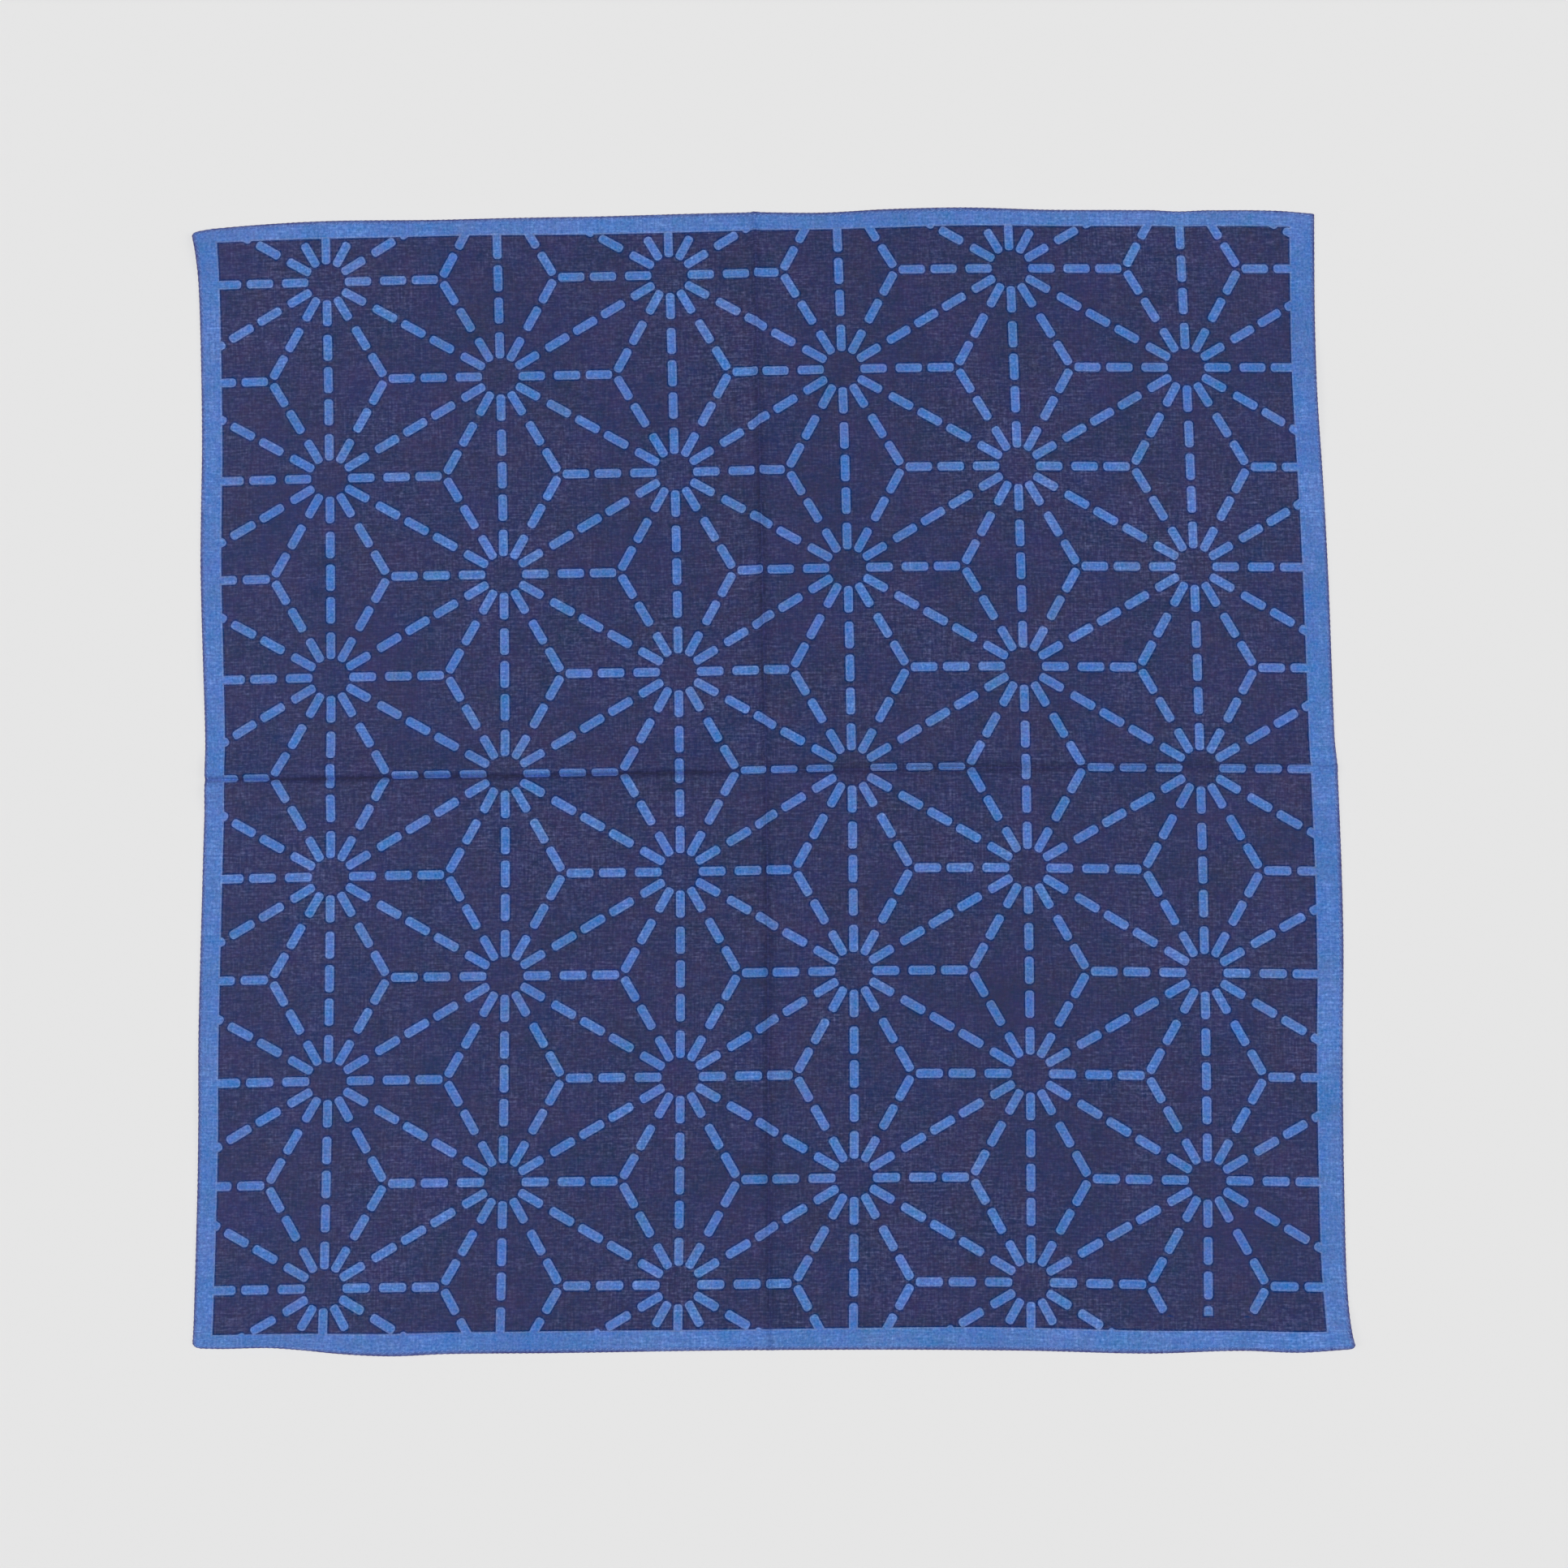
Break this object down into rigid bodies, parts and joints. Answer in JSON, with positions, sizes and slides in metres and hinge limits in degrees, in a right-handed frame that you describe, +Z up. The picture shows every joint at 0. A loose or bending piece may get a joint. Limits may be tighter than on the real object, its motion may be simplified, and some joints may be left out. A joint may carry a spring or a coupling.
{
  "type": "bandana",
  "caption": "Square cotton bandana laid out flat, with a narrow turned hem, pressed quarter folds and a dashed hemp-leaf print inside a plain border.",
  "frame": {"origin": "middle of the cloth's outline box, on the surface it lies on", "axes": "+X to the right side and +Y to the top side as the print is shown, +Z up through the printed face"},
  "size_m": [0.5328, 0.536, 0.0039],
  "materials": {
    "printed_cotton": "matt plain-weave cotton, navy ground with mid-blue dashes and border"
  },
  "bodies": {
    "root": {"bandana_cloth": "printed_cotton"}
  },
  "joints": []
}
